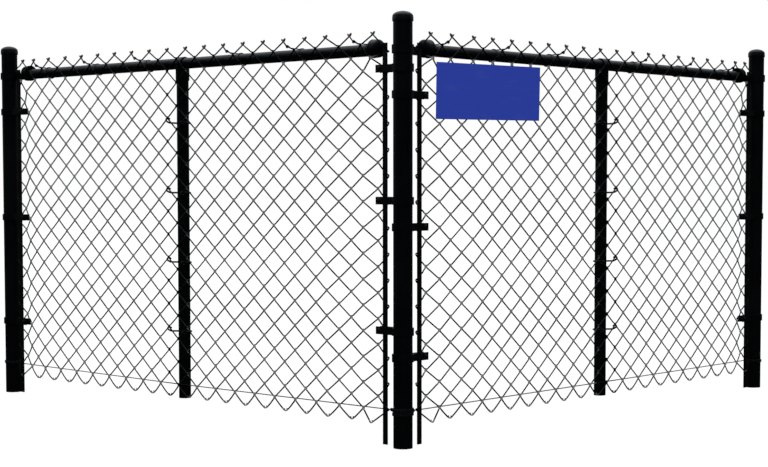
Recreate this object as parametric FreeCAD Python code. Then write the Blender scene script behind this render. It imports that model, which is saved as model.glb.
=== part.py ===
import FreeCAD, Part
import math
import os

# Corner of a black coated chain link fence: two equal runs meeting at a right angle.
# Millimetres. Origin at the centre of the corner post's foot, Z up.
# The right run goes along +X and is seen from -Y. The left run goes along +Y and is seen from -X.
# Each piece of a run is modelled on the right run, and the left run is its mirror image.

V = FreeCAD.Vector
os.makedirs("parts", exist_ok=True)

# Posts
post_spacing = 2073.0
terminal_od = 60.3
terminal_wall = 2.4
terminal_rise = 90.5
line_od = 42.2
line_wall = 2.1
line_place = 1074.5
line_foot = 60.0
foot_plug = 8.0

# Top rail
rail_od = 38.1
rail_wall = 1.7
rail_drop = 46.5

# Woven fabric
wire = 4.8
rows = 15
cell_height = 81.4
cell_width = 98.6
fabric_bottom = 70.4
selvage_sink = 9.4
fabric_offset = 6.0
bend_reach = 53.0
near_strips = [46.5, 64.5, 52.5, 54.5, 55.5]
far_strips = [49.0, 44.5, 41.0, 26.0, 54.5]
near_top_drift = {(1, 0): 22.0, (1, 2): 33.0, (2, 1): 12.0, (3, 0): 6.0, (5, 0): 4.0}
near_foot_drift = {(1, 0): 31.0, (3, 0): -2.0, (5, 0): -4.0}
far_top_drift = {(1, 0): 11.0, (1, 2): 24.0, (2, 3): 16.0, (3, 0): 8.0, (5, 0): 7.0}
far_foot_drift = {(3, 0): -4.0, (5, 0): -7.0}
knuckle_width = 12.0
knuckle_rise = 7.0
half_gap = 0.6

# Tension bars and bands
bar_width = 17.0
bar_thick = 5.0
bar_reach = 69.0
bar_foot = 4.5
bar_drop = 30.0
band_height = 24.0
band_thick = 4.2
near_band_reach = 99.0
far_band_reach = 112.0
band_rows = [2.58, 7.54, 12.543]
left_corner_lift = 1.001

# Brace bands and rail ends
brace_height = 26.0
brace_drop = 5.5
tab_thick = 6.0
tab_height = 25.0
tab_length = 20.0
cup_radius = 28.5
cup_depth = 30.0
dome_length = 14.0
dome_radius = 20.0
dome_steps = 4
rail_entry = 18.0
near_mouth = 152.5
far_mouth = 96.5

# Caps
cap_skirt = 12.0
cap_wall = 2.6
cap_dome = 18.0
cap_steps = 5
sleeve_length = 36.0
sleeve_radius = 24.0
eye_wall = 4.0
eye_width = 30.0

# Tension wire and ties
line_wire = 3.6
twist_wire = 7.4
wrap_height = 11.0
wrap_thick = 3.6
wrap_gap = 0.5
wrap_lift = 4.0
tie_wire = 4.2
tie_drop = 30.0
tie_every = 3
post_tie_drop = 18.0

# Clearance between pieces that lie on each other
seat = 0.2

terminal_r = terminal_od / 2
line_r = line_od / 2
rail_r = rail_od / 2
fabric_y = -fabric_offset
fabric_back = fabric_y + wire
fabric_top = fabric_bottom + rows * cell_height - selvage_sink
rail_height = fabric_top - rail_drop
terminal_top = rail_height + terminal_rise
bar_top = fabric_top - bar_drop
brace_level = rail_height - brace_drop
layer_step = bar_thick / 2
rail_y = fabric_back + layer_step + seat + max(cup_radius, sleeve_radius)
bar_half = bar_width / 2


def box(x0, x1, y0, y1, z0, z1):
    return Part.makeBox(x1 - x0, y1 - y0, z1 - z0, V(x0, y0, z0))


def upright(radius, x, y, z0, z1):
    return Part.makeCylinder(radius, z1 - z0, V(x, y, z0), V(0, 0, 1))


def along(radius, x0, x1, y, z):
    return Part.makeCylinder(radius, x1 - x0, V(x0, y, z), V(1, 0, 0))


def rod(radius, start, end):
    step = end.sub(start)
    return Part.makeCylinder(radius, step.Length, start, step)


def mirrored(shape):
    return shape.mirror(V(0, 0, 0), V(1, -1, 0))


def turned(shape, centre):
    # The same piece at the far post, facing back along the run.
    return shape.mirror(V(centre, 0, 0), V(1, 0, 0))


def save(shape, name):
    shape.exportStep("parts/" + name + ".step")


def save_runs(shape, name):
    save(shape, "right_" + name)
    save(mirrored(shape), "left_" + name)


def post(radius, wall, x, y, z0, z1):
    tube = upright(radius, x, y, z0, z1)
    return tube.cut(upright(radius - wall, x, y, z0 + foot_plug, z1))


# Fabric columns: odd columns carry the selvage knuckles, even columns lie half a cell higher.
near_width = bend_reach + sum(near_strips)
far_width = bend_reach + sum(far_strips)
even_width = post_spacing - near_width - far_width
even_strips = 2 * round(even_width / cell_width)
strips = near_strips + [even_width / even_strips] * even_strips + far_strips
columns = [bend_reach]
for strip in strips:
    columns.append(columns[-1] + strip)
last = len(columns) - 1
split = min(range(2, last - 1, 2), key=lambda i: abs(columns[i] - line_place))


def node_z(halves):
    # The top selvage hangs a little below its place in the grid.
    return fabric_top if halves == 2 * rows else fabric_bottom + halves * cell_height / 2


def node_x(column, halves):
    # Nodes near the bars stand off their column, counted in half cells from the selvage.
    down = 2 * rows - halves
    back = last - column
    x = columns[column]
    x += near_top_drift.get((column, down), 0) + near_foot_drift.get((column, halves), 0)
    x += far_top_drift.get((back, down), 0) + far_foot_drift.get((back, halves), 0)
    return x


def leg_half(run, rise):
    # Half height of a wire leg measured upright.
    return 0.5 * wire * math.hypot(run, rise) / abs(run)


def bar_outline(points, y0, y1):
    # A flat bar of wire thickness along a line of points, cut upright at both ends.
    halves = []
    for a, b in zip(points, points[1:]):
        halves.append(leg_half(b[0] - a[0], b[1] - a[1]))
    corner = [halves[0]]
    for a, b in zip(halves, halves[1:]):
        corner.append((a + b) / 2)
    corner.append(halves[-1])
    upper = [V(p[0], y0, p[1] + h) for p, h in zip(points, corner)]
    lower = [V(p[0], y0, p[1] - h) for p, h in zip(points, corner)]
    ring = upper + lower[::-1]
    face = Part.Face(Part.makePolygon(ring + [ring[0]]))
    return face.extrude(V(0, y1 - y0, 0))


def between(a, b, x):
    return (x, a[1] + (b[1] - a[1]) * (x - a[0]) / (b[0] - a[0]))


def straightened(points):
    kept = [points[0]]
    for a, b, c in zip(points, points[1:], points[2:]):
        if abs(between(a, c, b[0])[1] - b[1]) > 0.01:
            kept.append(b)
    kept.append(points[-1])
    return kept


def wire_lines(first, final, sense):
    # Every line of legs that climbs (sense 1) or falls (sense -1) from column first to final.
    edge = 0 if sense > 0 else 2 * rows
    starts = [(first, halves) for halves in range(2 * rows + 1) if (halves + first) % 2 == 1]
    for column in range(first + 1, final):
        if column % 2 == 1:
            starts.append((column, edge))
    lines = []
    for column, halves in starts:
        points = []
        while column <= final and 0 <= halves <= 2 * rows:
            points.append((node_x(column, halves), node_z(halves)))
            column += 1
            halves += sense
        if points[1:]:
            lines.append(points)
    return lines


bar_inner = bar_reach + bar_half
leg_start = bar_inner + 2 * seat + wire / 2
leg_end = leg_start + 3 * wire


def trimmed(points, low, high):
    # The part of a line between two places along the run.
    out = []
    for a, b in zip(points, points[1:]):
        if b[0] <= low or a[0] >= high:
            continue
        p = between(a, b, low) if a[0] < low else a
        q = between(a, b, high) if b[0] > high else b
        if not out:
            out.append(p)
        out.append(q)
    return out


def knuckle(x, span):
    w = knuckle_width / 2
    d = wire - seat
    return box(x - w, x + w, fabric_y - d, fabric_y + d, span[0], span[1])


def fabric(first, final):
    # One half of a run: climbing legs in front, falling legs behind, fused where they cross.
    low = leg_start if first == 0 else columns[first] + half_gap / 2
    high = post_spacing - leg_start if final == last else columns[final] - half_gap / 2
    pieces = []
    for sense in (1, -1):
        y0 = fabric_y - wire if sense > 0 else fabric_y
        shift = -layer_step * sense
        for points in wire_lines(first, final, sense):
            main = trimmed(points, low, high)
            if main:
                pieces.append(bar_outline(straightened(main), y0, y0 + wire))
            ends = []
            if first == 0:
                ends.append(trimmed(points, bend_reach, leg_end))
            if final == last:
                ends.append(trimmed(points, post_spacing - leg_end, post_spacing - bend_reach))
            for end in ends:
                if end:
                    pieces.append(bar_outline(end, y0 + shift, y0 + shift + wire))
    half = layer_step + wire
    r = wire / 2
    foot_span = (fabric_bottom - knuckle_rise, fabric_bottom + wire)
    top_span = (fabric_top - wire, fabric_top + knuckle_rise)
    for column in range(first, final + 1):
        x = columns[column]
        if column in (0, last):
            for row in range(rows):
                z = node_z(2 * row + 1)
                pieces.append(box(x - r, x + r, fabric_y - half, fabric_y + half, z - wire, z + wire))
        elif column % 2 == 1:
            pieces.append(knuckle(node_x(column, 0), foot_span))
            pieces.append(knuckle(node_x(column, 2 * rows), top_span))
    solid = pieces[0].multiFuse(pieces[1:])
    return solid.removeSplitter()


save_runs(fabric(0, split), "near_fabric")
save_runs(fabric(split, last), "far_fabric")


# Posts and their caps
def dome_cap(x):
    r = terminal_r + cap_wall
    z = terminal_top + cap_wall
    skirt = terminal_top - cap_skirt
    rim = [V(0, 0, terminal_top), V(terminal_r, 0, terminal_top), V(terminal_r, 0, skirt), V(r, 0, skirt)]
    for step in range(cap_steps + 1):
        turn = math.pi / 2 * step / cap_steps
        rim.append(V(r * math.cos(turn), 0, z + cap_dome * math.sin(turn)))
    cap = Part.Face(Part.makePolygon(rim + rim[:1])).revolve(V(0, 0, 0), V(0, 0, 1), 360)
    cap.translate(V(x, 0, 0))
    return cap


save(post(terminal_r, terminal_wall, 0, 0, 0, terminal_top), "corner_post")
save(dome_cap(0), "corner_post_cap")
save_runs(post(terminal_r, terminal_wall, post_spacing, 0, 0, terminal_top), "end_post")
save_runs(dome_cap(post_spacing), "end_post_cap")

line_top = rail_height - rail_r - eye_wall - seat
save_runs(post(line_r, line_wall, line_place, rail_y, line_foot, line_top), "line_post")

sleeve_foot = line_top - sleeve_length
eye = upright(sleeve_radius, line_place, rail_y, sleeve_foot, rail_height - rail_r / 3)
eye_start = line_place - eye_width / 2
eye = eye.fuse(along(rail_r + eye_wall, eye_start, eye_start + eye_width, rail_y, rail_height))
eye = eye.cut(upright(line_r, line_place, rail_y, sleeve_foot, line_top))
eye = eye.cut(along(rail_r, line_place - sleeve_length, line_place + sleeve_length, rail_y, rail_height))
save_runs(eye, "loop_cap")


# Top rail and the cups that carry its ends
def rail_end(mouth):
    back = mouth - cup_depth
    tip = back - dome_length
    seat_end = mouth - rail_entry
    rim = [V(seat_end, 0, 0), V(seat_end, rail_r, 0), V(mouth, rail_r, 0), V(mouth, cup_radius, 0)]
    for step in range(dome_steps + 1):
        turn = math.pi / 2 * step / dome_steps
        shoulder = dome_radius + (cup_radius - dome_radius) * math.cos(turn)
        rim.append(V(back - dome_length * math.sin(turn), shoulder, 0))
    rim.append(V(tip, 0, 0))
    cup = Part.Face(Part.makePolygon(rim + rim[:1])).revolve(V(0, 0, 0), V(1, 0, 0), 360)
    t = tab_thick / 2
    h = tab_height / 2
    cup = cup.fuse(box(tip - tab_length, tip + dome_length / 2, -t, t, -h, h))
    cup.translate(V(0, rail_y, rail_height))
    return cup.removeSplitter()


rail_start = near_mouth - rail_entry
rail_stop = post_spacing - far_mouth + rail_entry
rail = along(rail_r, rail_start, rail_stop, rail_y, rail_height)
save_runs(rail.cut(along(rail_r - rail_wall, rail_start, rail_stop, rail_y, rail_height)), "top_rail")
save_runs(rail_end(near_mouth), "corner_rail_end")
save_runs(turned(rail_end(far_mouth), post_spacing / 2), "far_rail_end")


# Bands: a strip round the post whose two ears clasp a bar or a tab
def band(level, height, ear_y, ear_gap, reach):
    z0 = level - height / 2
    z1 = level + height / 2
    outer = ear_gap / 2 + band_thick
    strip = upright(terminal_r + band_thick, 0, 0, z0, z1)
    strip = strip.fuse(box(0, reach, ear_y - outer, ear_y + outer, z0, z1))
    strip = strip.cut(upright(terminal_r, 0, 0, z0, z1))
    strip = strip.cut(box(0, reach, ear_y - ear_gap / 2, ear_y + ear_gap / 2, z0, z1))
    return strip.removeSplitter()


ear_gap = bar_thick + 2 * (wire + seat)
for number, row in enumerate(band_rows, 1):
    level = fabric_bottom + row * cell_height
    corner = band(level, band_height, fabric_y, ear_gap, near_band_reach)
    far = band(level, band_height, fabric_y, ear_gap, far_band_reach)
    name = "tension_band_" + str(number)
    save(corner, "right_corner_" + name)
    lifted = corner.copy()
    lifted.translate(V(0, 0, left_corner_lift * cell_height))
    save(mirrored(lifted), "left_corner_" + name)
    save_runs(turned(far, post_spacing / 2), "far_" + name)

near_brace = near_mouth - cup_depth - dome_length - seat
far_brace = far_mouth - cup_depth - dome_length - seat
tab_gap = tab_thick + 2 * seat
save(band(brace_level, brace_height, rail_y, tab_gap, near_brace), "right_corner_brace_band")
brace = band(brace_level, brace_height, rail_y, tab_gap, far_brace)
save_runs(turned(brace, post_spacing / 2), "far_brace_band")

bar_front = fabric_y - bar_thick / 2
bar = box(bar_inner - bar_width, bar_inner, bar_front, bar_front + bar_thick, bar_foot, bar_top)
save_runs(bar, "corner_tension_bar")
save_runs(turned(bar, post_spacing / 2), "far_tension_bar")


# Tension wire along the lowest full row of crossings, wrapped round the posts
wire_level = fabric_bottom + cell_height / 2
behind_bar = fabric_y + layer_step + wire + seat + line_wire / 2
behind_fabric = fabric_back + seat + line_wire / 2


def tension_wire(upward):
    # The wraps of the two runs lie one above the other on the corner post.
    end_level = wire_level + wrap_lift + upward * (wrap_height + wrap_gap) / 2
    wrap_low = end_level - wrap_height / 2
    twist_end = bend_reach - wire / 2 - 2 * seat
    middle = V(line_place, behind_fabric, wire_level)
    pieces = []
    for x, sense in ((0, 1), (post_spacing, -1)):
        start = V(x + sense * twist_end, behind_bar, end_level)
        pieces.append(rod(line_wire / 2, start, middle))
        root = V(x + sense * (terminal_r + wrap_thick / 2), behind_bar, end_level)
        pieces.append(rod(twist_wire / 2, root, start))
        wrap = upright(terminal_r + wrap_thick, x, 0, wrap_low, wrap_low + wrap_height)
        pieces.append(wrap)
    solid = pieces[0].multiFuse(pieces[1:])
    for x in (0, post_spacing):
        solid = solid.cut(upright(terminal_r, x, 0, 0, terminal_top))
    return solid.removeSplitter()


save(tension_wire(-1), "right_tension_wire")
save(mirrored(tension_wire(1)), "left_tension_wire")


# Tie wires: round the back of the rail or post, with both ends on fabric legs
def tangent(point, centre, radius, normal, sense):
    out = point.sub(centre)
    angle = math.degrees(math.acos(radius / out.Length))
    turned_out = FreeCAD.Rotation(normal, sense * angle).multVec(out)
    return centre.add(turned_out.multiply(radius / out.Length))


def tie(centre, radius, start, end, normal):
    # Straight, arc and straight in one plane, square in section.
    h = tie_wire / 2
    a = tangent(start, centre, radius, normal, 1).sub(centre).normalize()
    b = tangent(end, centre, radius, normal, -1).sub(centre).normalize()
    back = centre.sub((start + end) / 2).normalize()
    outer = [centre.add(d * (radius + h)) for d in (a, back, b)]
    inner = [centre.add(d * (radius - h)) for d in (b, back, a)]
    edges = [Part.makeLine(start.add(a * h), outer[0]), Part.Arc(*outer).toShape(),
             Part.makeLine(outer[2], end.add(b * h)), Part.makeLine(end.add(b * h), end.sub(b * h)),
             Part.makeLine(end.sub(b * h), inner[0]), Part.Arc(*inner).toShape(),
             Part.makeLine(inner[2], start.sub(a * h)), Part.makeLine(start.sub(a * h), start.add(a * h))]
    face = Part.Face(Part.Wire(edges))
    face.translate(normal * -h)
    return face.extrude(normal * tie_wire)


def node(column, halves):
    return (node_x(column, halves), node_z(halves))


behind_leg = seat + tie_wire / 2
first_tie = 2 * tie_every - 1
near_tied = range(split - first_tie, 0, -2 * tie_every)
far_tied = range(split + first_tie, last, 2 * tie_every)
rail_ties = []
for column in [*near_tied, *far_tied]:
    x = node_x(column, 2 * rows) - tie_drop
    root = node(column - 1, 2 * rows - 1)
    top = between(root, node(column, 2 * rows), x)
    low = between(root, node(column, 2 * rows - 2), x)
    start = V(x, fabric_y + behind_leg, top[1])
    end = V(x, fabric_back + behind_leg, low[1])
    rail_ties.append(tie(V(x, rail_y, rail_height), rail_r + behind_leg, start, end, V(-1, 0, 0)))
save_runs(Part.makeCompound(rail_ties), "rail_ties")

post_ties = []
side = post_tie_drop * (columns[split + 1] - columns[split]) * 2 / cell_height
for row in range(tie_every, rows, tie_every):
    z = node_z(2 * row) - post_tie_drop
    start = V(columns[split + 1] - side, fabric_y + behind_leg, z)
    end = V(columns[split - 1] + side, fabric_back + behind_leg, z)
    post_ties.append(tie(V(line_place, rail_y, z), line_r + behind_leg, start, end, V(0, 0, 1)))
save_runs(Part.makeCompound(post_ties), "line_post_ties")
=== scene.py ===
"""Dresses the chain link fence corner: woven fabric, ties, bolts, caps, rail ends and a plain sign."""
import math

import bpy
from bpy.props import FloatProperty, FloatVectorProperty, PointerProperty
from mathutils import Matrix, Vector


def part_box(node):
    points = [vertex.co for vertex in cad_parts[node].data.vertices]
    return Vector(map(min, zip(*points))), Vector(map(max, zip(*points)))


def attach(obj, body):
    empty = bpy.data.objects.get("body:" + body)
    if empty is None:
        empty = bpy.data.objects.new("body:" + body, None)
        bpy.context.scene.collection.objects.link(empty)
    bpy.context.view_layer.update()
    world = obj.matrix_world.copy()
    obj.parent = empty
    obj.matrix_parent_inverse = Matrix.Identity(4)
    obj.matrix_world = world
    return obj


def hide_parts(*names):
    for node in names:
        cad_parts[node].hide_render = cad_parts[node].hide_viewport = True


bl_info = {
    "name": "Chain Link Fence Corner",
    "version": (1, 0, 0),
    "blender": (4, 5, 0),
    "location": "3D View > Sidebar > Fence",
    "description": "Models the wires, fittings and finishes of a chain link fence corner",
    "category": "Object",
}

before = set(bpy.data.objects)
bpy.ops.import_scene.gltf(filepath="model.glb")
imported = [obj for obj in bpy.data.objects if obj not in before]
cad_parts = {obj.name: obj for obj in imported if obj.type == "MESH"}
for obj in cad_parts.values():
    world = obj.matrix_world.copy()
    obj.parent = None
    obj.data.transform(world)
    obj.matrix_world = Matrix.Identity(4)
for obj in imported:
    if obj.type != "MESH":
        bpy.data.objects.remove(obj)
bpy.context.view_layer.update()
MM = 0.001


def middle(node):
    """Middle of a solid's box."""
    low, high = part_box(node)
    return (low + high) / 2


def reach(node):
    """Half of a solid's box, side by side."""
    low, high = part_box(node)
    return (high - low) / 2


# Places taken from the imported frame, in metres on the right run
FABRIC_Y = middle("right_corner_tension_bar").y
SPACING = middle("right_end_post").x
POST_R = reach("corner_post").x
POST_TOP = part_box("corner_post")[1].z
LINE_X, LINE_Y, _ = middle("right_line_post")
LINE_R = reach("right_line_post").x
RAIL_Y, RAIL_Z = middle("right_top_rail").y, middle("right_top_rail").z
RAIL_R = reach("right_top_rail").z
BAR_THICK = 2 * reach("right_corner_tension_bar").y
KNUCKLE_RISE = 7 * MM
FABRIC_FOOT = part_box("right_near_fabric")[0].z + KNUCKLE_RISE
FABRIC_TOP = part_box("right_near_fabric")[1].z - KNUCKLE_RISE
SPLIT_X = (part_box("right_near_fabric")[1].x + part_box("right_far_fabric")[0].x) / 2

# The weave of the right run, in millimetres. The strips are the widths of the columns beside the bars.
# The drifts tell how far nodes near the top stand off their column, by column and half cells down.
ROWS = 15
BEND_REACH = 53
CELL_WIDTH = 98.6
CELL_HEIGHT = 81.4
NEAR_STRIPS = (46.5, 64.5, 52.5, 54.5, 55.5)
FAR_STRIPS = (49, 44.5, 41, 26, 54.5)
NEAR_TOP_DRIFT = {(1, 0): 22, (1, 2): 33, (2, 1): 12, (3, 0): 6, (5, 0): 4}
FAR_TOP_DRIFT = {(1, 0): 11, (1, 2): 24, (2, 3): 16, (3, 0): 8, (5, 0): 7}

# Shifts of the topmost bends on the near and the far bar, along and up
BAR_TOP_SHIFT = ((0, -25), (7, 5))

# Near the corner the first columns climb at their foot, and less with each half cell up
NEAR_FOOT_LIFT = {0: 5.5, 1: 3, 2: 1.8, 3: 1.4}
LIFTED_HALVES = 24

# Valleys of the lower selvage: how far each stands off its column and the selvage line,
# and the powers that round them at the near and the far end of a run
NEAR_VALLEYS = {1: (31, -3.5), 3: (-2, 1), 5: (-4, -1)}
FAR_VALLEYS = {1: (38, 0), 3: (-4, -1.5), 5: (-7, -1.5)}
VALLEY = (-4, -1.5)
VALLEY_POWERS = (0.9, 0.66)
VALLEY_SHARES = (0.85, 0.66, 0.48, 0.33, 0.2, 0.11, 0.05, 0.015)
SHORT_LEG = 30

# Curled ends of the wires: along in millimetres, out in layers, up in millimetres
CREST_CURL = ((0.6, 1.0, -0.8), (2.6, 1.0, 1.4), (4.8, 0.8, 3.6), (7.2, 0.2, 5.3),
              (8.6, -0.6, 5.6), (8.2, -1.3, 4.4), (6.4, -1.7, 2.6), (4.0, -1.8, 0.5))
CREST_TILT = 0.1
VALLEY_CURL = ((1.6, 0.6, 0.3), (3.6, -0.4, 1.6), (3.2, -1.3, 4.2), (0.8, -1.9, 6.6))

# Ties: where one pulls a top leg down, and how many cells lie between two of them
TIE_KINK = (-17.5, -18.5)
TIE_EVERY = 3

# Where the wire's sleeve gets painted highlights or painted shade, in metres: each pair goes from none
# to all of it
OFF_LINE_POST = (0.06, 0.075)
OFF_BARS = (0.97, 0.95)
UNDER_RAIL = (1.222, 1.21)
AT_KNUCKLES = (FABRIC_TOP - 12 * MM, FABRIC_TOP - 3 * MM)
OVER_RAIL_FOOT = (1.21, 1.218)
BELOW_RAIL_TOP = (1.268, 1.26)

# Middle of the sign along the right run and above the ground, in metres
SIGN_ALONG = 0.3982
SIGN_LEVEL = 1.1118

# The lamp before the fence
FILL_ENERGY = 3.4
FILL_SPREAD = math.radians(70)
FILL_HEADING = (0.5, 0.6, -0.55)

# The camera at the photo's angle
CAMERA_PLACE = (-3.820, -3.508, 0.834)
CAMERA_HEADING = (0.7408, 0.6717)
CAMERA_PITCH = math.radians(3.34)
CAMERA_LENS = 79.0
CAMERA_SHIFT = (-0.0385, 0.0565)

# Swaps the two runs: the left one is the right one's mirror image
OTHER_RUN = Matrix(((0, 1, 0, 0), (1, 0, 0, 0), (0, 0, 1, 0), (0, 0, 0, 1)))

# Takes a place at the corner end of the right run to its far end
FAR_END = Matrix(((-1, 0, 0, SPACING), (0, 1, 0, 0), (0, 0, 1, 0), (0, 0, 0, 1)))


class FenceSizes(bpy.types.PropertyGroup):
    """Sizes of the wires and small fittings."""

    fabric_wire: FloatProperty(
        name="Fabric wire", description="Diameter of the woven wire with its coat",
        default=4.9 * MM, min=0.001, unit="LENGTH")
    hook_room: FloatProperty(
        name="Hook room", description="How far a bend reaches past its column",
        default=2.5 * MM, min=0.001, unit="LENGTH")
    tension_wire: FloatProperty(
        name="Tension wire", description="Diameter of the wire along the foot of the fabric",
        default=3.8 * MM, min=0.001, unit="LENGTH")
    rail_tie: FloatProperty(
        name="Rail tie", description="Diameter of the ties on the rails",
        default=3.4 * MM, min=0.001, unit="LENGTH")
    post_tie: FloatProperty(
        name="Post tie", description="Diameter of the ties on the line posts",
        default=6.2 * MM, min=0.001, unit="LENGTH")
    bolt: FloatProperty(
        name="Bolt", description="Diameter of the band bolts",
        default=8 * MM, min=0.002, unit="LENGTH")
    sign_width: FloatProperty(
        name="Sign width", description="Width of the bare sign plate",
        default=520.5 * MM, min=0.05, unit="LENGTH")
    sign_height: FloatProperty(
        name="Sign height", description="Height of the bare sign plate",
        default=177.5 * MM, min=0.05, unit="LENGTH")
    sign_thick: FloatProperty(
        name="Sign thickness", description="Thickness of the bare sign plate",
        default=3 * MM, min=0.0005, unit="LENGTH")
    sign_tilt: FloatProperty(
        name="Sign tilt", description="How far the plate hangs out of level",
        default=math.radians(0.8), subtype="ANGLE", unit="ROTATION")
    sign_lean: FloatProperty(
        name="Sign lean", description="How far the plate's top leans out of the fabric",
        default=math.radians(1.8), subtype="ANGLE", unit="ROTATION")


class FenceFinishes(bpy.types.PropertyGroup):
    """Colours of the coats, the sign and the floor."""

    steel: FloatVectorProperty(
        name="Steel coat", description="Satin coat of posts, rails and fittings",
        subtype="COLOR", size=3, min=0, max=1, default=(0.0005, 0.0006, 0.0009))
    wire: FloatVectorProperty(
        name="Wire coat", description="Sleeve of the woven wire and ties",
        subtype="COLOR", size=3, min=0, max=1, default=(0.0014, 0.0015, 0.0018))
    bolts: FloatVectorProperty(
        name="Bolt finish", description="Blackened steel of bolts and nuts",
        subtype="COLOR", size=3, min=0, max=1, default=(0.0018, 0.0018, 0.002))
    sign: FloatVectorProperty(
        name="Sign enamel", description="Enamel of the bare plate",
        subtype="COLOR", size=3, min=0, max=1, default=(0.030, 0.060, 0.42))
    floor: FloatVectorProperty(
        name="Floor", description="Pale studio floor",
        subtype="COLOR", size=3, min=0, max=1, default=(0.12, 0.12, 0.12))


class Shade:
    """A socket of a node tree. Arithmetic on it adds Math nodes."""

    def __init__(self, graph, socket):
        self.graph = graph
        self.socket = socket

    def combined(self, operation, first, second):
        return self.graph.node("ShaderNodeMath", {"operation": operation}, {0: first, 1: second})

    def __add__(self, other):
        return self.combined("ADD", self, other)

    def __radd__(self, other):
        return self.combined("ADD", other, self)

    def __sub__(self, other):
        return self.combined("SUBTRACT", self, other)

    def __rsub__(self, other):
        return self.combined("SUBTRACT", other, self)

    def __mul__(self, other):
        return self.combined("MULTIPLY", self, other)

    def __rmul__(self, other):
        return self.combined("MULTIPLY", other, self)

    def above(self, floor):
        return self.combined("MAXIMUM", self, floor)

    def wave(self):
        return self.combined("COSINE", self, 0.0)

    def distance(self, other):
        return self.combined("ABSOLUTE", self - other, 0.0)


class Graph:
    """A node tree built node by node."""

    def __init__(self, owner):
        owner.use_nodes = True
        self.tree = owner.node_tree

    def node(self, kind, settings=None, inputs=None, output=0):
        made = self.tree.nodes.new(kind)
        for name, value in (settings or {}).items():
            if name == "stops":
                for stop, (position, colour) in zip(made.color_ramp.elements, value):
                    stop.position = position
                    stop.color = colour
            else:
                setattr(made, name, value)
        self.feed(made, inputs or {})
        return Shade(self, made.outputs[output])

    def axes(self, place):
        return [self.node("ShaderNodeSeparateXYZ", None, {0: place}, axis) for axis in "XYZ"]

    def feed(self, made, inputs):
        for name, value in inputs.items():
            if isinstance(value, Shade):
                self.tree.links.new(value.socket, made.inputs[name])
            else:
                made.inputs[name].default_value = value


class Finish(Graph):
    """A procedural material."""

    def __init__(self, name):
        self.material = bpy.data.materials.new(name)
        super().__init__(self.material)
        self.shader = self.tree.nodes["Principled BSDF"]
        self.place = self.node("ShaderNodeTexCoord", output="Object")

    def noise(self, scale, detail=2.0, stretch=None):
        place = self.place
        if stretch:
            place = self.node("ShaderNodeMapping", None, {"Vector": place, "Scale": stretch})
        return self.node("ShaderNodeTexNoise", None,
                         {"Vector": place, "Scale": scale, "Detail": detail, "Roughness": 0.55})

    def band(self, value, low, high):
        stops = [(low, (0, 0, 0, 1)), (high, (1, 1, 1, 1))]
        return self.node("ShaderNodeValToRGB", {"stops": stops}, {"Fac": value})

    def ramp(self, value, empty, full):
        """A share: 0 at one value, 1 at another and held beyond them."""
        return self.node("ShaderNodeMapRange", None,
                         {"Value": value, "From Min": empty, "From Max": full})

    def mixed(self, share, first, second):
        return self.node("ShaderNodeMix", {"data_type": "RGBA"},
                         {0: share, 6: first, 7: second}, output=2)

    def bump(self, height, strength, distance):
        return self.node("ShaderNodeBump", None,
                         {"Height": height, "Strength": strength, "Distance": distance})

    def shaded(self, **sockets):
        self.feed(self.shader, {name.replace("_", " "): value for name, value in sockets.items()})
        return self.material


def tinted(colour, factor, lift=0.0):
    return (*(min(1, c * factor + lift) for c in colour), 1)


def steel_coat(colour):
    """Satin black coat on tube and strap: orange peel, faint runs and matte dusty patches."""
    made = Finish("satin_steel_coat")
    patches = made.band(made.noise(7, 4), 0.42, 0.68)
    runs = made.band(made.noise(22, 3, (1, 1, 0.06)), 0.5, 0.75)
    specks = made.band(made.noise(310, 1), 0.66, 0.74)
    peel = made.noise(520, 2)
    worn = made.mixed(patches * 0.55 + runs * 0.25, tinted(colour, 1), tinted(colour, 1.9, 0.0004))
    base = made.mixed(specks * 0.35, worn, tinted(colour, 5, 0.001))
    return made.shaded(Base_Color=base, Roughness=0.32 + patches * 0.1 + runs * 0.07 + specks * 0.1,
                       Specular_IOR_Level=0.5, Normal=made.bump(peel + specks * 0.5, 0.12, 0.0003))


def wire_coat(colour):
    """Black sleeve extruded on wire: scuffed in spots, with painted highlights where wires hook together
    and on the knuckles, and painted shade on the wires before the rail.
    """
    made = Finish("black_wire_coat")
    patches = made.band(made.noise(26, 3), 0.4, 0.7)
    scuffs = made.band(made.noise(180, 2), 0.62, 0.74)
    fine = made.noise(900, 1)
    worn = made.mixed(patches, tinted(colour, 1), tinted(colour, 2.1))
    scuffed = made.mixed(scuffs * 0.5, worn, tinted(colour, 5, 0.002))
    east, north, height = made.axes(made.place)
    along = east.above(north)
    # Painted highlight: the crossings where wires hook together are painted paler, as if lit by the
    # bright backdrop behind them, but not where the line post, the bars or the rail stand behind.
    levels = ((height - FABRIC_FOOT) * (4 * math.pi / (CELL_HEIGHT * MM))).wave()
    painted_backlight = made.ramp(levels, 0.5, 0.85) * made.ramp(along.distance(LINE_X), *OFF_LINE_POST)
    painted_backlight = painted_backlight * made.ramp(along.distance(SPACING / 2), *OFF_BARS) * made.ramp(height, *UNDER_RAIL)
    # Painted highlight: the knuckles along the top are painted paler as well.
    curled = made.ramp(height, *AT_KNUCKLES)
    base = made.mixed(painted_backlight.above(curled * 0.4), scuffed, tinted(colour, 5, 0.17))
    # Painted shade: wires before the rail's face turn fully metallic on their near-black colour, so they
    # show no highlight there.
    painted_rail_shade = made.ramp(height, *OVER_RAIL_FOOT) * made.ramp(height, *BELOW_RAIL_TOP)
    return made.shaded(Base_Color=base, Metallic=painted_rail_shade, Roughness=0.42 + patches * 0.12 + scuffs * 0.14,
                       Specular_IOR_Level=0.22, Normal=made.bump(fine, 0.1, 0.0002))


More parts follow.
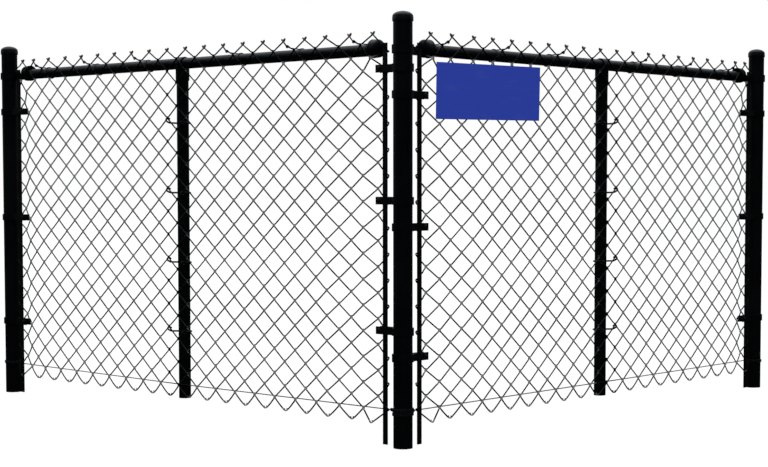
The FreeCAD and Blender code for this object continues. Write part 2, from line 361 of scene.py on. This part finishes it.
def bolt_black(colour):
    """Blackened bolt steel with bare flecks."""
    made = Finish("blackened_bolt")
    flecks = made.band(made.noise(420, 3), 0.56, 0.7)
    grain = made.noise(1400, 2)
    base = made.mixed(flecks * 0.7, tinted(colour, 1), tinted(colour, 7, 0.004))
    return made.shaded(Base_Color=base, Metallic=0.25 + flecks * 0.5, Roughness=0.4 + grain * 0.2,
                       Specular_IOR_Level=0.4, Normal=made.bump(grain, 0.15, 0.0002))


def sign_enamel(colour):
    """Blue enamel on sheet: even colour with a fine ripple, faint rub marks and dust."""
    made = Finish("blue_enamel")
    cloud = made.noise(5, 3)
    rubs = made.band(made.noise(34, 4, (0.25, 1, 1)), 0.56, 0.8)
    dust = made.band(made.noise(650, 1), 0.66, 0.76)
    ripple = made.noise(160, 2)
    tone = made.mixed(cloud, tinted(colour, 0.97), tinted(colour, 1.03))
    base = made.mixed(rubs * 0.12 + dust * 0.1, tone, tinted(colour, 1, 0.12))
    return made.shaded(Base_Color=base, Roughness=0.42 + rubs * 0.16 + dust * 0.2,
                       Specular_IOR_Level=0.12, Normal=made.bump(ripple, 0.05, 0.0004))


def floor_paint(colour):
    """Pale studio floor."""
    made = Finish("pale_floor")
    cloud = made.noise(1.5, 3)
    base = made.mixed(cloud, tinted(colour, 0.985), tinted(colour, 1.0))
    return made.shaded(Base_Color=base, Roughness=0.8 + cloud * 0.1, Specular_IOR_Level=0.1,
                       Emission_Color=(1, 1, 1, 1), Emission_Strength=0.91)


PAINTS = {"steel": steel_coat, "wire": wire_coat, "bolts": bolt_black,
          "sign": sign_enamel, "floor": floor_paint}
MIXED_PAINTS = {}


def painted(piece, paint):
    """Gives a piece one of the finishes, mixed once."""
    if paint not in MIXED_PAINTS:
        MIXED_PAINTS[paint] = PAINTS[paint](getattr(bpy.context.scene.fence_finishes, paint))
    piece.data.materials.clear()
    piece.data.materials.append(MIXED_PAINTS[paint])
    return piece


def nothing_selected():
    if bpy.context.object and bpy.context.object.mode != "OBJECT":
        bpy.ops.object.mode_set(mode="OBJECT")
    bpy.ops.object.select_all(action="DESELECT")


def only(piece):
    nothing_selected()
    piece.select_set(True)
    bpy.context.view_layer.objects.active = piece
    return piece


def settled(piece, name):
    """Applies the piece's place to its mesh and turns its faces outwards."""
    only(piece)
    bpy.ops.object.transform_apply(location=True, rotation=True, scale=True)
    bpy.ops.object.mode_set(mode="EDIT")
    bpy.ops.mesh.select_all(action="SELECT")
    bpy.ops.mesh.normals_make_consistent(inside=False)
    bpy.ops.object.mode_set(mode="OBJECT")
    piece.name = name
    piece.data.name = name
    return piece


def copied(piece, name, matrix):
    """A copy with its own mesh, placed by a matrix."""
    twin = piece.copy()
    twin.data = piece.data.copy()
    bpy.context.scene.collection.objects.link(twin)
    twin.data.transform(matrix)
    if matrix.determinant() < 0:
        twin.data.flip_normals()
    twin.name = name
    twin.data.name = name
    return twin


def joined(pieces, name):
    nothing_selected()
    for piece in pieces:
        piece.select_set(True)
    bpy.context.view_layer.objects.active = pieces[0]
    bpy.ops.object.join()
    made = bpy.context.object
    made.name = name
    made.data.name = name
    return made


def dressed(piece, paint, slot, *nodes):
    """Paints a finished piece, fixes it to the fence and hides the solids that it stands for."""
    painted(piece, paint)
    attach(piece, "root")
    if nodes:
        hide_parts(*nodes)
    return piece


def on_run(u, out, z):
    """A point of the right run: along it, outward of the fabric's middle, and up."""
    return Vector((u, FABRIC_Y - out, z))


def bent_wires(name, paths, diameter):
    """Round wires along lists of points, as one mesh."""
    curve = bpy.data.curves.new(name, "CURVE")
    curve.dimensions = "3D"
    curve.bevel_depth = diameter / 2
    curve.bevel_resolution = 1
    curve.use_fill_caps = True
    for path in paths:
        spline = curve.splines.new("POLY")
        spline.points.add(len(path) - 1)
        for point, place in zip(spline.points, path):
            point.co = (*place, 1)
    piece = bpy.data.objects.new(name, curve)
    bpy.context.scene.collection.objects.link(piece)
    only(piece)
    bpy.ops.object.convert(target="MESH")
    made = bpy.context.object
    bpy.ops.object.shade_smooth_by_angle(angle=math.radians(70))
    return made


class Weave:
    """Columns, nodes and wires of the right run's fabric."""

    lead = 6 * MM

    def __init__(self, sizes):
        self.layer = 0.52 * sizes.fabric_wire
        self.wide = BAR_THICK / 2 + self.layer
        self.hook = sizes.hook_room
        near, far = sum(NEAR_STRIPS), sum(FAR_STRIPS)
        even = SPACING / MM - 2 * BEND_REACH - near - far
        count = 2 * round(even / CELL_WIDTH)
        self.columns = [BEND_REACH * MM]
        for strip in (*NEAR_STRIPS, *[even / count] * count, *FAR_STRIPS):
            self.columns.append(self.columns[-1] + strip * MM)
        self.last = len(self.columns) - 1
        self.split = min(range(self.last), key=lambda i: abs(self.columns[i] - SPLIT_X))

    def node(self, column, halves):
        down = 2 * ROWS - halves
        back = self.last - column
        drift = NEAR_TOP_DRIFT.get((column, down), 0) + FAR_TOP_DRIFT.get((back, down), 0)
        level = FABRIC_TOP if down == 0 else FABRIC_FOOT + halves * CELL_HEIGHT / 2 * MM
        place = Vector((self.columns[column] + drift * MM, level))
        if halves == 0:
            place += Vector(NEAR_VALLEYS.get(column) or FAR_VALLEYS.get(back) or VALLEY) * MM
        elif halves < LIFTED_HALVES:
            place.y += NEAR_FOOT_LIFT.get(column, 0) * (1 - halves / LIFTED_HALVES) * MM
        elif down == 1 and column in (0, self.last):
            place += Vector(BAR_TOP_SHIFT[column > 0]) * MM
        return place

    def tied(self):
        """Columns whose top knuckle hangs on a rail tie."""
        first, step = 2 * TIE_EVERY - 1, 2 * TIE_EVERY
        return (*range(self.split - first, 0, -step), *range(self.split + first, self.last, step))

    def kink(self, column):
        """Where a rail tie pulls a top leg down."""
        return self.node(column, 2 * ROWS) + Vector(TIE_KINK) * MM

    def leg_point(self, start, end, u):
        return start + (end - start) * (u - start.x) / (end.x - start.x)

    def bend(self, node, before, after, side):
        """A wire turning back at a column: side -1 turns at its left and comes forward."""
        rise = 2.5 * MM
        turned, spread = 0.6, 0.9
        d = self.layer
        p = node + (before - node).normalized() * self.lead
        q = node + (after - node).normalized() * self.lead
        u, z = node
        h = side * self.hook
        return [(p.x, side * d, p.y), (u + turned * h, spread * side * d, z - rise), (u + h, 0, z),
                (u + turned * h, -spread * side * d, z + rise), (q.x, -side * d, q.y)]

    def bar_bend(self, node, before, after, side):
        """The same turn taken round a tension bar."""
        wide = self.wide
        inner, lip, outer = 35 * MM, 26.5 * MM, 7 * MM
        flank, rise, tip, turned = 3.2 * MM, 1.8 * MM, 1 * MM, 0.6
        u, z = node
        rows = []
        for share, out in ((inner, self.layer), (lip, wide), (outer, wide)):
            if share < abs(before.x - u):
                p = self.leg_point(node, before, u - side * share)
                rows.append((p.x, side * out, p.y))
        rows += [(u - side * flank, side * turned * wide, z - rise), (u - side * tip, 0, z),
                 (u - side * flank, -side * turned * wide, z + rise)]
        for share, out in ((outer, wide), (lip, wide), (inner, self.layer)):
            p = self.leg_point(node, after, u - side * share)
            rows.append((p.x, -side * out, p.y))
        return rows

    def crest(self, node, inner, side):
        """A wire's upper end, curled over its neighbour's and tucked back under it."""
        d = self.layer
        u, z = node
        p = node + (inner - node).normalized() * self.lead
        rows = [(p.x, side * d, p.y)]
        for along, out, rise in CREST_CURL:
            across = side * along
            rows.append((u + across * MM, side * out * d, z + (rise - CREST_TILT * across) * MM))
        return rows

    def valley(self, column, inner, side):
        """A wire's lower end: the leg sags into a round valley, then curls up behind its neighbour's."""
        node = self.node(column, 0)
        leg = inner - node
        start, stop = VALLEY_POWERS
        power = 1 if column in (1, self.last - 1) else start + (stop - start) * column / self.last
        d = self.wide if abs(leg.x) < SHORT_LEG * MM else self.layer
        rows = []
        for share in VALLEY_SHARES:
            rows.append((node.x + leg.x * share ** power, -side * d, node.y + leg.y * share))
        for along, out, rise in VALLEY_CURL:
            rows.append((node.x + side * along * MM, -side * out * d, node.y + rise * MM))
        return rows

    def wire(self, index):
        """One wire from selvage to selvage, zigzag between its two columns."""
        chain = []
        for halves in range(2 * ROWS + 1):
            side = -1 if (index + halves) % 2 == 1 else 1
            column = index if side < 0 else index + 1
            chain.append((column, side, self.node(column, halves)))
        places = [node for _, _, node in chain]
        rows = self.valley(chain[0][0], places[1], chain[0][1])[::-1]
        for i in range(1, len(chain) - 1):
            column, side, node = chain[i]
            turn = self.bar_bend if column in (0, self.last) else self.bend
            rows += turn(node, places[i - 1], places[i + 1], side)
        below = places[-2]
        if chain[-1][0] == index + 1 and index + 1 in self.tied():
            below = self.kink(index + 1)
            rows.append((below.x, self.layer, below.y))
        rows += self.crest(places[-1], below, chain[-1][1])
        return [on_run(*row) for row in rows]


class FENCE_OT_weave_fabric(bpy.types.Operator):
    """Weaves both halves of each run, wire by wire"""

    bl_idname = "fence.weave_fabric"
    bl_label = "Weave fabric"

    def execute(self, context):
        sizes = context.scene.fence_sizes
        weave = Weave(sizes)
        for half, first, final in (("near", 0, weave.split), ("far", weave.split, weave.last)):
            paths = [weave.wire(index) for index in range(first, final)]
            right = bent_wires("right_" + half + "_weave", paths, sizes.fabric_wire)
            left = copied(right, "left_" + half + "_weave", OTHER_RUN)
            dressed(right, "wire", "coated_wire", "right_" + half + "_fabric")
            dressed(left, "wire", "coated_wire", "left_" + half + "_fabric")
        return {"FINISHED"}


def coil(centre, first, second, forward, radius, start, turns, steps):
    """Points of a coil round a line: it begins at the angle start and advances by forward in all."""
    rows = []
    for step in range(steps + 1):
        share = step / steps
        angle = start + 2 * math.pi * turns * share
        spoke = first * math.cos(angle) + second * math.sin(angle)
        rows.append(centre + forward * share + spoke * radius)
    return rows


class FENCE_OT_string_wires(bpy.types.Operator):
    """Strings the tension wire along the foot of each run, wound round its posts and twisted back"""

    bl_idname = "fence.string_wires"
    bl_label = "String tension wires"

    def noose(self, level, way, line_y, size):
        """A wire's end: coils on the line, turns round the post above or below it, then the line."""
        east, north, up = Vector((1, 0, 0)), Vector((0, 1, 0)), Vector((0, 0, 1))
        ring = POST_R + size / 2 + 0.1 * MM
        start = Vector((54 * MM, line_y, level))
        stop = Vector((37 * MM, line_y, level))
        stack = 2.7 * size
        twist = coil(start, north, up, stop - start, size * 1.02, start=0.4, turns=4, steps=48)
        turns = coil(Vector((0, 0, level + way * stack)), east, north, up * way * -stack, ring,
                     start=0.16, turns=2.95, steps=106)
        leave = Vector((ring + 2.2 * MM, line_y - 1.2 * MM, level))
        return twist + turns + [leave, stop, start]

    def path(self, lift, sizes):
        size = sizes.tension_wire
        level = FABRIC_FOOT + CELL_HEIGHT / 2 * MM
        mid = FABRIC_Y + sizes.fabric_wire + 0.2 * MM + size / 2
        back = mid + BAR_THICK / 2
        raised, apart = 1.8, 1.6
        near = self.noose(level + (raised + lift * apart) * MM, lift, back, size)
        far = [FAR_END @ point for point in near]
        return near + [Vector((LINE_X, mid, level))] + far[::-1]

    def execute(self, context):
        sizes = context.scene.fence_sizes
        size = sizes.tension_wire
        right = bent_wires("right_strung_wire", [self.path(-1, sizes)], size)
        left = bent_wires("left_strung_wire", [[OTHER_RUN @ p for p in self.path(1, sizes)]], size)
        dressed(right, "wire", "coated_wire", "right_tension_wire")
        dressed(left, "wire", "coated_wire", "left_tension_wire")
        return {"FINISHED"}


def leg_hook(weave, leg_start, leg_end, u, out, radius, start, turns, advance):
    """A tie's end curled round a fabric leg."""
    place = weave.leg_point(leg_start, leg_end, u)
    line = (leg_end - leg_start).normalized()
    first = Vector((0, -1, 0))
    second = Vector((-line.y, 0, line.x))
    along = Vector((line.x, 0, line.y)) * advance
    return coil(on_run(place.x, out, place.y), first, second, along, radius, start, turns, steps=12)


class FENCE_OT_tie_rails(bpy.types.Operator):
    """Ties the fabric's top to the rails with hooked wires"""

    bl_idname = "fence.tie_rails"
    bl_label = "Tie rails"

    def path(self, weave, column, sizes):
        top = 2 * ROWS
        peak = weave.node(column, top)
        root = weave.node(column - 1, top - 1)
        low = weave.node(column - 2, top - 2)
        size = sizes.rail_tie
        ring = RAIL_R + 0.2 * MM + size / 2
        grip = (sizes.fabric_wire + size) / 2
        kink = weave.kink(column)
        pitch = -size * 1.3
        upper_u, leaving_u, lower_u = kink.x - 1 * MM, kink.x - 16 * MM, peak.x - 79 * MM
        upper = leg_hook(weave, root, kink, upper_u, weave.layer, grip,
                         start=3.8, turns=-1.35, advance=pitch)
        lower = leg_hook(weave, low, root, lower_u, weave.layer, grip,
                         start=4.0, turns=1.3, advance=pitch)
        first_angle, sweep, steps = 62, 222, 18
        first_back, drift = 49, 17
        wrap = []
        for step in range(steps + 1):
            share = step / steps
            angle = math.radians(first_angle + sweep * share)
            u = peak.x - (first_back + drift * share) * MM
            wrap.append(Vector((u, RAIL_Y - ring * math.cos(angle), RAIL_Z + ring * math.sin(angle))))
        leaving = weave.leg_point(root, kink, leaving_u)
        return upper + [on_run(leaving.x, weave.layer - grip, leaving.y)] + wrap + lower

    def execute(self, context):
        sizes = context.scene.fence_sizes
        weave = Weave(sizes)
        paths = [self.path(weave, column, sizes) for column in weave.tied()]
        right = bent_wires("right_rail_tie_wires", paths, sizes.rail_tie)
        left = copied(right, "left_rail_tie_wires", OTHER_RUN)
        dressed(right, "wire", "coated_wire", "right_rail_ties")
        dressed(left, "wire", "coated_wire", "left_rail_ties")
        return {"FINISHED"}


class FENCE_OT_tie_line_posts(bpy.types.Operator):
    """Ties the fabric to the line posts with hooked wires"""

    bl_idname = "fence.tie_line_posts"
    bl_label = "Tie line posts"

    # The tie's end before the fabric: along, out and up from the far node, in millimetres
    front_curl = ((-17, 3, -6), (-16.5, 6.5, -3.5), (-12, 8.2, -2), (-6.5, 8.2, -2.5), (-2, 7.4, -6),
                  (3, 4, -10), (5.5, -1, -12.5), (4.5, -5.5, -15.5), (-1, -9.5, -18.2))

    def path(self, weave, row, sizes):
        size = sizes.post_tie
        ring = LINE_R + 0.2 * MM + size / 2
        far = weave.node(weave.split + 1, 2 * row)
        near = weave.node(weave.split - 1, 2 * row)
        level = far.y - 19 * MM
        rows = [on_run(far.x + along * MM, out * MM, far.y + up * MM)
                for along, out, up in self.front_curl]
        centre = Vector((LINE_X, LINE_Y, level))
        east, north = Vector((1, 0, 0)), Vector((0, 1, 0))
        rows += coil(centre, east, north, Vector(), ring, start=-0.12, turns=0.54, steps=20)
        end = weave.node(weave.split, 2 * row - 1)
        grip = (sizes.fabric_wire + size) / 2
        return rows + leg_hook(weave, near, end, near.x + 23 * MM, -weave.layer, grip,
                               start=2.6, turns=-1.2, advance=size)

    def execute(self, context):
        sizes = context.scene.fence_sizes
        weave = Weave(sizes)
        paths = [self.path(weave, row, sizes) for row in range(TIE_EVERY, ROWS, TIE_EVERY)]
        right = bent_wires("right_post_tie_wires", paths, sizes.post_tie)
        left = copied(right, "left_post_tie_wires", OTHER_RUN)
        dressed(right, "wire", "coated_wire", "right_line_post_ties")
        dressed(left, "wire", "coated_wire", "left_line_post_ties")
        return {"FINISHED"}


def lathed(name, rings, segments=48):
    """A round solid up the Z axis: each ring is extruded from the one before and scaled."""
    nothing_selected()
    radius, height = rings[0]
    bpy.ops.mesh.primitive_circle_add(vertices=segments, radius=radius, fill_type="NOTHING")
    piece = bpy.context.object
    bpy.ops.object.mode_set(mode="EDIT")
    bpy.ops.mesh.select_all(action="SELECT")
    bpy.ops.transform.translate(value=(0, 0, height))
    for wider, higher in rings[1:]:
        bpy.ops.mesh.extrude_region_move(TRANSFORM_OT_translate={"value": (0, 0, higher - height)})
        scale = wider / radius
        bpy.ops.transform.resize(value=(scale, scale, 1), center_override=(0, 0, higher))
        radius, height = wider, higher
    bpy.ops.mesh.select_all(action="SELECT")
    bpy.ops.mesh.fill_holes(sides=0)
    bpy.ops.object.mode_set(mode="OBJECT")
    bpy.ops.object.shade_smooth_by_angle(angle=math.radians(32))
    piece.name = name
    return piece


def arc(centre_r, centre_z, wide, tall, start, stop, steps):
    """Ring sizes along part of an ellipse, angles in degrees from the outward direction."""
    rows = []
    for step in range(steps + 1):
        angle = math.radians(start + (stop - start) * step / steps)
        rows.append((centre_r + wide * math.cos(angle), centre_z + tall * math.sin(angle)))
    return rows


class FENCE_OT_turn_caps(bpy.types.Operator):
    """Turns the domed caps of the corner and end posts"""

    bl_idname = "fence.turn_caps"
    bl_label = "Turn caps"

    def execute(self, context):
        low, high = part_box("corner_post_cap")
        r, skirt, crown = high.x, low.z, high.z - 1.2 * MM
        inner = POST_R + 0.1 * MM
        shoulder = POST_TOP + 2.6 * MM
        rings = [(inner, POST_TOP), (inner, skirt + 0.6 * MM), (inner + 0.6 * MM, skirt),
                 (r - 0.7 * MM, skirt), (r, skirt + 0.7 * MM), (r, shoulder - 1.4 * MM),
                 (r - 0.5 * MM, shoulder - 0.5 * MM), (r - 0.5 * MM, shoulder)]
        rings += arc(0, shoulder, r - 0.5 * MM, crown - shoulder, 8, 88, 12)
        corner = settled(lathed("corner_dome_cap", rings), "corner_dome_cap")
        right = copied(corner, "right_dome_cap", Matrix.Translation((SPACING, 0, 0)))
        left = copied(corner, "left_dome_cap", Matrix.Translation((0, SPACING, 0)))
        dressed(corner, "steel", "coated_steel", "corner_post_cap")
        dressed(right, "steel", "coated_steel", "right_end_post_cap")
        dressed(left, "steel", "coated_steel", "left_end_post_cap")
        return {"FINISHED"}


def block(name, size, centre, bevel):
    """A bevelled block of a size at a place."""
    nothing_selected()
    bpy.ops.mesh.primitive_cube_add(size=1, location=centre)
    piece = bpy.context.object
    piece.scale = size
    bpy.ops.object.transform_apply(location=True, rotation=True, scale=True)
    bpy.ops.object.mode_set(mode="EDIT")
    bpy.ops.mesh.select_all(action="SELECT")
    bpy.ops.mesh.bevel(offset=bevel, segments=2, affect="EDGES")
    bpy.ops.object.mode_set(mode="OBJECT")
    bpy.ops.object.shade_smooth_by_angle(angle=math.radians(20))
    piece.name = name
    return piece


class FENCE_OT_turn_rail_ends(bpy.types.Operator):
    """Turns the cups that hold the rails' ends, with their bolting tabs"""

    bl_idname = "fence.turn_rail_ends"
    bl_label = "Turn rail ends"

    def cup(self, name, node):
        """A cup at the corner end of the right run, mouth away from the post."""
        low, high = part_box(node)
        r = (high.z - low.z) / 2 + 1 * MM
        mouth = high.x + 3 * MM
        depth, dome, tip_r = 25 * MM, 10 * MM, 15 * MM
        lift = 4 * MM
        back = mouth - depth
        bore = RAIL_R + lift + 0.2 * MM
        rings = [(bore, mouth - 20 * MM), (bore, mouth - 0.8 * MM), (bore + 0.8 * MM, mouth),
                 (r - 2.4 * MM, mouth), (r - 0.8 * MM, mouth - 0.8 * MM), (r, mouth - 2.4 * MM),
                 (r, mouth - 7 * MM), (r - 0.9 * MM, mouth - 8.4 * MM)]
        rings += arc(tip_r, back, r - 0.9 * MM - tip_r, -dome, 0, 84, 9)
        made = lathed(name, rings)
        made.rotation_euler = (0, math.pi / 2, 0)
        made.location = (0, RAIL_Y, RAIL_Z + lift)
        settled(made, name)
        tip = back - dome
        end = low.x + 6 * MM
        length = tip + 7 * MM - end
        plate = block(name + "_tab", (length, 6 * MM, 25 * MM),
                      (end + length / 2, RAIL_Y, RAIL_Z), 1.2 * MM)
        return joined([made, settled(plate, name + "_tab")], name)

    def execute(self, context):
        near = self.cup("right_corner_rail_cup", "right_corner_rail_end")
        far_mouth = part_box("right_far_rail_end")[0].x
        shift = (SPACING - far_mouth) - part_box("right_corner_rail_end")[1].x
        far = copied(near, "right_far_rail_cup", FAR_END @ Matrix.Translation((shift, 0, 0)))
        left_near = copied(near, "left_corner_rail_cup", OTHER_RUN)
        left_far = copied(far, "left_far_rail_cup", OTHER_RUN)
        for piece in (near, far, left_near, left_far):
            node = piece.name.replace("rail_cup", "rail_end")
            dressed(piece, "steel", "coated_steel", node)
        return {"FINISHED"}


class FENCE_OT_bolt_bands(bpy.types.Operator):
    """Puts a round headed bolt and a nut through the ears of every band"""

    bl_idname = "fence.bolt_bands"
    bl_label = "Bolt bands"

    def bolt(self, grip, size):
        """A bolt down the Y axis, its head in front of the origin and its nut behind the grip."""
        r = size / 2
        head_r, rim, crown, nut_r = 2.15 * r, 0.15 * r, 1.05 * r, 1.87 * r
        head = [(r, 0), (head_r, 0), (head_r, rim)] + arc(0, rim, head_r, crown, 8, 86, 7)
        dome = lathed("bolt_head", head, 20)
        end = grip + 12 * MM
        shank = lathed("bolt_shank", [(r, 0), (r, -end + 1 * MM), (r - 1 * MM, -end)], 16)
        nothing_selected()
        bpy.ops.mesh.primitive_cylinder_add(vertices=6, radius=nut_r, depth=0.8 * size,
                                            location=(0, 0, -grip - 0.4 * size))
        nut = bpy.context.object
        bpy.ops.object.mode_set(mode="EDIT")
        bpy.ops.mesh.select_all(action="SELECT")
        bpy.ops.mesh.bevel(offset=0.7 * MM, segments=2, affect="EDGES")
        bpy.ops.object.mode_set(mode="OBJECT")
        made = joined([settled(p, p.name) for p in (dome, shank, nut)], "band_bolt")
        made.rotation_euler = (math.pi / 2, 0, 0)
        return settled(made, "band_bolt")

    def execute(self, context):
        sizes = context.scene.fence_sizes
        ear = 4.2 * MM
        gap, tab = 15 * MM, 6.4 * MM
        tension_inset, brace_inset = 14.5 * MM, 10 * MM
        long_bolt = self.bolt(gap + 2 * ear, sizes.bolt)
        front = FABRIC_Y - gap / 2 - ear
        short_bolt = self.bolt(tab + 2 * ear, sizes.bolt)
        brace_front = RAIL_Y - tab / 2 - ear
        groups = []
        for run in ("right", "left"):
            for end in ("corner", "far"):
                nodes = [run + "_" + end + "_tension_band_" + str(n) for n in (1, 2, 3)]
                groups.append((run, end, nodes, long_bolt, front, tension_inset, "_tension_bolts"))
        for run, end in (("right", "corner"), ("right", "far"), ("left", "far")):
            nodes = [run + "_" + end + "_brace_band"]
            groups.append((run, end, nodes, short_bolt, brace_front, brace_inset, "_brace_bolt"))
        for run, end, nodes, model, face, inset, tail in groups:
            placed = []
            for node in nodes:
                low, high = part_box(node)
                if run == "left":
                    low, high = OTHER_RUN @ low, OTHER_RUN @ high
                ear_end = high.x if end == "corner" else SPACING - low.x
                place = Matrix.Translation((ear_end - inset, face, (low.z + high.z) / 2))
                if end == "far":
                    place = FAR_END @ place
                if run == "left":
                    place = OTHER_RUN @ place
                placed.append(copied(model, node + "_bolt", place))
            piece = joined(placed, run + "_" + end + tail) if placed[1:] else placed[0]
            piece.name = piece.data.name = run + "_" + end + tail
            dressed(piece, "bolts", "coated_steel")
        for model in (long_bolt, short_bolt):
            bpy.data.objects.remove(model)
        return {"FINISHED"}


class FENCE_OT_hang_sign(bpy.types.Operator):
    """Hangs the bare sign plate on the right run"""

    bl_idname = "fence.hang_sign"
    bl_label = "Hang sign"

    def execute(self, context):
        sizes = context.scene.fence_sizes
        back = sizes.fabric_wire + 0.2 * MM
        plate = block("bare_sign_plate", (sizes.sign_width, sizes.sign_thick, sizes.sign_height),
                      (0, 0, 0), 0.5 * MM)
        plate.rotation_euler = (sizes.sign_lean, -sizes.sign_tilt, 0)
        proud = math.sin(sizes.sign_lean) * sizes.sign_height / 2
        plate.location = on_run(SIGN_ALONG, back + proud + sizes.sign_thick / 2, SIGN_LEVEL)
        settled(plate, "bare_sign_plate")
        dressed(plate, "sign", "coated_steel")
        return {"FINISHED"}


class FENCE_OT_coat_steel(bpy.types.Operator):
    """Coats every solid of the frame as steel or as wire"""

    bl_idname = "fence.coat_steel"
    bl_label = "Coat steel"

    def execute(self, context):
        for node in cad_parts.values():
            wire = any(word in node.name for word in ("fabric", "wire", "ties"))
            painted(node, "wire" if wire else "steel")
        return {"FINISHED"}


class FENCE_OT_set_stage(bpy.types.Operator):
    """Lays the floor, hangs the soft lights and sets the camera"""

    bl_idname = "fence.set_stage"
    bl_label = "Set stage"

    def execute(self, context):
        nothing_selected()
        bpy.ops.mesh.primitive_plane_add(size=60, location=(1, 1, -0.0005))
        floor = bpy.context.object
        floor.name = "studio_floor"
        painted(floor, "floor")
        floor.visible_glossy = False
        floor.visible_diffuse = False
        fill = bpy.data.lights.new("front_fill", "SUN")
        fill.energy = FILL_ENERGY
        fill.angle = FILL_SPREAD
        lamp = bpy.data.objects.new("front_fill", fill)
        context.scene.collection.objects.link(lamp)
        lamp.rotation_euler = Vector(FILL_HEADING).to_track_quat("-Z", "Y").to_euler()
        lamp.visible_glossy = False
        world = bpy.data.worlds.new("white_studio")
        sky = Graph(world)
        toward = sky.node("ShaderNodeTexCoord", output="Generated")
        east, north, height = sky.axes(toward)
        behind_east, behind_north, spill = 0.68, 0.84, 0.18
        low_glow, top_glow, least_glow = 1.25, 0.8, 0.008
        beyond = (east * behind_east + north * behind_north + spill).above(0.0)
        rise = height.above(0.0)
        steep = rise * rise
        glow = rise * beyond * low_glow + steep * steep * top_glow + least_glow
        seen = sky.node("ShaderNodeLightPath", output="Is Camera Ray")
        tint = sky.node("ShaderNodeMix", {"data_type": "RGBA"},
                        {0: seen, 6: (0.86, 0.94, 1, 1), 7: (1, 1, 1, 1)}, output=2)
        sky.feed(sky.tree.nodes["Background"], {"Color": tint, "Strength": seen + (1 - seen) * glow})
        context.scene.world = world
        context.scene.view_settings.view_transform = "Standard"
        camera = bpy.data.objects.new("photo_camera", bpy.data.cameras.new("photo_camera"))
        context.scene.collection.objects.link(camera)
        camera.data.lens = CAMERA_LENS
        camera.data.sensor_width = 36
        camera.data.shift_x, camera.data.shift_y = CAMERA_SHIFT
        camera.location = CAMERA_PLACE
        east, north = (part * math.cos(CAMERA_PITCH) for part in CAMERA_HEADING)
        heading = Vector((east, north, -math.sin(CAMERA_PITCH)))
        camera.rotation_euler = heading.to_track_quat("-Z", "Y").to_euler()
        context.scene.camera = camera
        return {"FINISHED"}


STEPS = (FENCE_OT_coat_steel, FENCE_OT_weave_fabric, FENCE_OT_string_wires, FENCE_OT_tie_rails,
         FENCE_OT_tie_line_posts, FENCE_OT_turn_caps, FENCE_OT_turn_rail_ends, FENCE_OT_bolt_bands,
         FENCE_OT_hang_sign, FENCE_OT_set_stage)


class FENCE_PT_corner(bpy.types.Panel):
    """Steps and sizes of the fence corner"""

    bl_label = "Chain Link Fence Corner"
    bl_idname = "FENCE_PT_corner"
    bl_space_type = "VIEW_3D"
    bl_region_type = "UI"
    bl_category = "Fence"

    def draw(self, context):
        for step in STEPS:
            self.layout.operator(step.bl_idname)
        for group in (context.scene.fence_sizes, context.scene.fence_finishes):
            box = self.layout.box()
            for name in group.__annotations__:
                box.prop(group, name)


CLASSES = (FenceSizes, FenceFinishes, *STEPS, FENCE_PT_corner)


def register():
    for item in CLASSES:
        bpy.utils.register_class(item)
    bpy.types.Scene.fence_sizes = PointerProperty(type=FenceSizes)
    bpy.types.Scene.fence_finishes = PointerProperty(type=FenceFinishes)


def unregister():
    del bpy.types.Scene.fence_finishes
    del bpy.types.Scene.fence_sizes
    for item in reversed(CLASSES):
        bpy.utils.unregister_class(item)


def main():
    register()
    bpy.ops.fence.coat_steel()
    bpy.ops.fence.weave_fabric()
    bpy.ops.fence.string_wires()
    bpy.ops.fence.tie_rails()
    bpy.ops.fence.tie_line_posts()
    bpy.ops.fence.turn_caps()
    bpy.ops.fence.turn_rail_ends()
    bpy.ops.fence.bolt_bands()
    bpy.ops.fence.hang_sign()
    bpy.ops.fence.set_stage()


if __name__ == "__main__":
    main()
